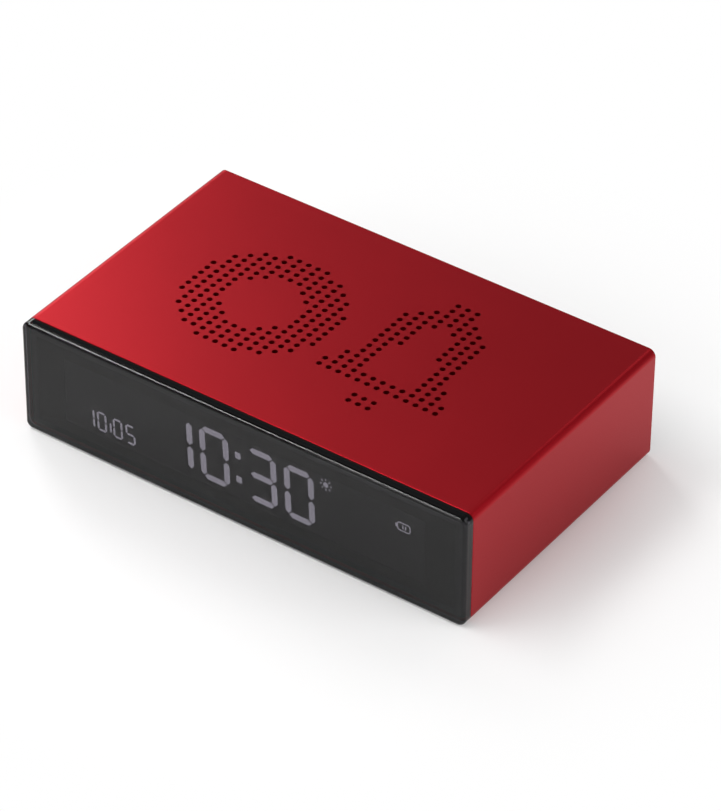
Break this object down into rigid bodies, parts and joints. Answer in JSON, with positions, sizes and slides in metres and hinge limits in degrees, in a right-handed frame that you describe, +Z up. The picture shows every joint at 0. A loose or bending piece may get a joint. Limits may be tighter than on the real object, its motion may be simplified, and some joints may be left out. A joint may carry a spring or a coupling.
{
  "type": "travel alarm clock",
  "caption": "Flat flip-over travel alarm clock: extruded metal sleeve with dotted sound holes, dark window with LCD digits in front and a keyed cover with a charging socket behind.",
  "frame": {"origin": "centre of the base, under the middle of the whole clock", "axes": "+X along the width to the viewer's right, +Y from the window to the rear cover, +Z up from the face it stands on with the alarm off"},
  "size_m": [0.118, 0.073, 0.029],
  "materials": {
    "red_sleeve": "fine bead-blasted, red anodised",
    "sound_cloth": "woven black cloth",
    "smoked_window": "polished, smoked",
    "black_foam": "soft foam",
    "black_frame": "fine moulded texture",
    "display_film": "polarising film",
    "display_glass": "polished, with dark segments inside",
    "clear_guide": "clear acrylic",
    "white_reflector": "matt white film",
    "led_white": "white with a yellow window",
    "contact_rubber": "striped conducting rubber",
    "green_board": "solder-masked fibreglass",
    "black_screw": "black zinc plated",
    "chip_black": "moulded epoxy",
    "bright_can": "bright can",
    "switch_body": "moulded",
    "steel_ball": "polished",
    "battery_foil": "foil pouch",
    "battery_tape": "foam tape",
    "white_plug": "moulded nylon",
    "red_wire": "insulated wire",
    "black_wire": "insulated wire",
    "speaker_frame": "pressed steel",
    "speaker_paper": "pressed paper",
    "magnet_steel": "plated",
    "speaker_wire": "insulated wire",
    "flat_cable": "polyimide",
    "spring_metal": "plated spring strip",
    "black_cover": "fine moulded texture",
    "key_black": "satin",
    "socket_steel": "plated",
    "socket_tongue": "moulded, with gilt contacts"
  },
  "bodies": {
    "clock": {"housing_sleeve": "red_sleeve", "sound_cloth_top": "sound_cloth", "sound_cloth_bottom": "sound_cloth", "front_lens": "smoked_window", "lens_gasket": "black_foam", "speaker_ring": "black_foam", "front_frame": "black_frame", "chassis_tray": "black_frame", "chassis_lid": "black_frame", "lcd_front_film": "display_film", "lcd_rear_film": "display_film", "lcd_glass": "display_glass", "light_guide": "clear_guide", "light_reflector": "white_reflector", "backlight_leds": "led_white", "contact_strip": "contact_rubber", "display_board": "green_board", "main_board": "green_board", "key_board": "green_board", "display_screws": "black_screw", "lid_screws": "black_screw", "board_screws": "black_screw", "key_screws": "black_screw", "cover_screws": "black_screw", "clock_chip": "chip_black", "power_chips": "chip_black", "quartz_can": "bright_can", "capacitors": "bright_can", "sensor_can": "bright_can", "key_switches": "switch_body", "lock_switch": "switch_body", "sensor_base": "switch_body", "battery_cell": "battery_foil", "battery_pad": "battery_tape", "battery_socket": "white_plug", "battery_plug": "white_plug", "battery_lead_red": "red_wire", "battery_lead_black": "black_wire", "speaker_basket": "speaker_frame", "speaker_cone": "speaker_paper", "speaker_magnet": "magnet_steel", "speaker_leads": "speaker_wire", "display_flex": "flat_cable", "key_flex": "flat_cable", "touch_spring": "spring_metal", "back_cover": "black_cover", "usb_shell": "socket_steel", "usb_tongue": "socket_tongue"},
    "alarm_button": {"alarm_key": "key_black", "alarm_plunger": "key_black"},
    "time_button": {"time_key": "key_black", "time_plunger": "key_black"},
    "minus_button": {"minus_key": "key_black", "minus_plunger": "key_black"},
    "plus_button": {"plus_key": "key_black", "plus_plunger": "key_black"},
    "lock": {"lock_slider": "key_black"},
    "flip_ball": {"sensor_ball": "steel_ball"}
  },
  "joints": [
    {"name": "alarm_press", "type": "slide", "parent": "clock", "child": "alarm_button", "axis": [0, -1, 0], "range_m": [0, 0.0005], "stiffness_N_per_m": 900},
    {"name": "time_press", "type": "slide", "parent": "clock", "child": "time_button", "axis": [0, -1, 0], "range_m": [0, 0.0005], "stiffness_N_per_m": 900},
    {"name": "minus_press", "type": "slide", "parent": "clock", "child": "minus_button", "axis": [0, -1, 0], "range_m": [0, 0.0005], "stiffness_N_per_m": 900},
    {"name": "plus_press", "type": "slide", "parent": "clock", "child": "plus_button", "axis": [0, -1, 0], "range_m": [0, 0.0005], "stiffness_N_per_m": 900},
    {"name": "lock_slide", "type": "slide", "parent": "clock", "child": "lock", "axis": [1, 0, 0], "range_m": [0, 0.002]},
    {"name": "flip_roll", "type": "slide", "parent": "clock", "child": "flip_ball", "axis": [0, 0, 1], "range_m": [0, 0.0014]}
  ]
}
